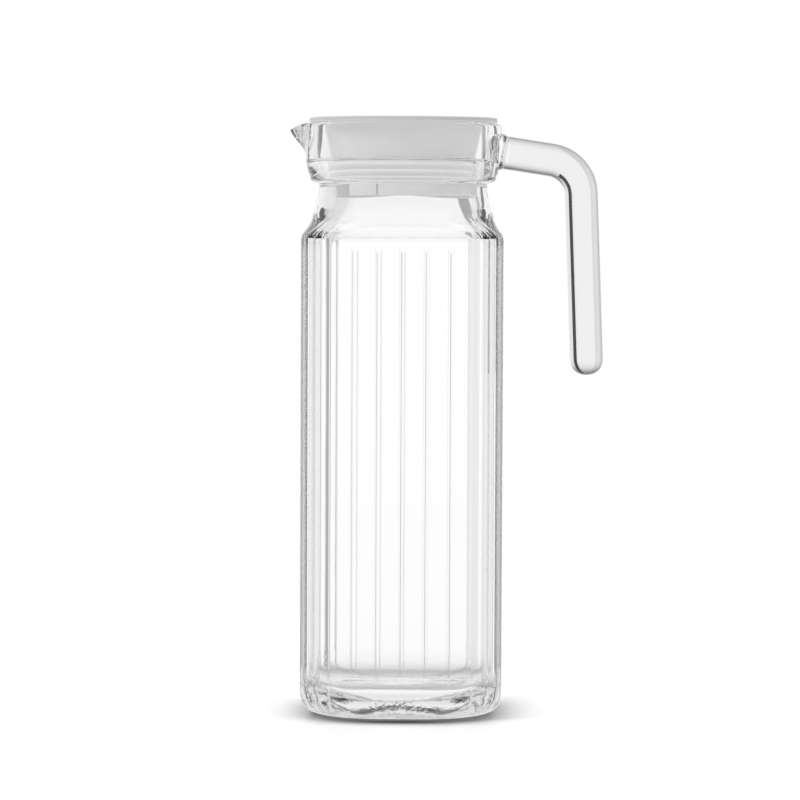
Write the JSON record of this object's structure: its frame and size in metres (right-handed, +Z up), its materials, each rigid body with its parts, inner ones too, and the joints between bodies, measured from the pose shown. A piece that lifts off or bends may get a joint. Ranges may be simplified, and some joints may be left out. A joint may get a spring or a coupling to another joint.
{
  "type": "glass pitcher with lid",
  "caption": "Square faceted glass pitcher with a turned collar, a pouring lip, an open side handle and a white push-in lid with a soft seal.",
  "frame": {"origin": "centre of the foot on the pitcher's upright axis, on the plane that it stands on", "axes": "+Z up along the pitcher's axis, +X towards the handle, -X towards the pouring lip, -Y towards the picture's camera"},
  "size_m": [0.1329, 0.0844, 0.2517],
  "materials": {
    "glass": "clear pressed glass",
    "seal": "soft white seal",
    "lid": "translucent white moulding"
  },
  "bodies": {
    "jug": {"jug_glass": "glass"},
    "seal": {"seal_ring": "seal"},
    "lid": {"lid": "lid"}
  },
  "joints": [
    {"name": "lid_lift", "type": "slide", "parent": "jug", "child": "seal", "axis": [0, 0, 1], "range_m": [0, 0.06]},
    {"name": "lid_turn", "type": "hinge", "parent": "seal", "child": "lid", "pos_m": [0, 0, 0.2497], "axis": [0, 0, 1], "continuous": true}
  ]
}
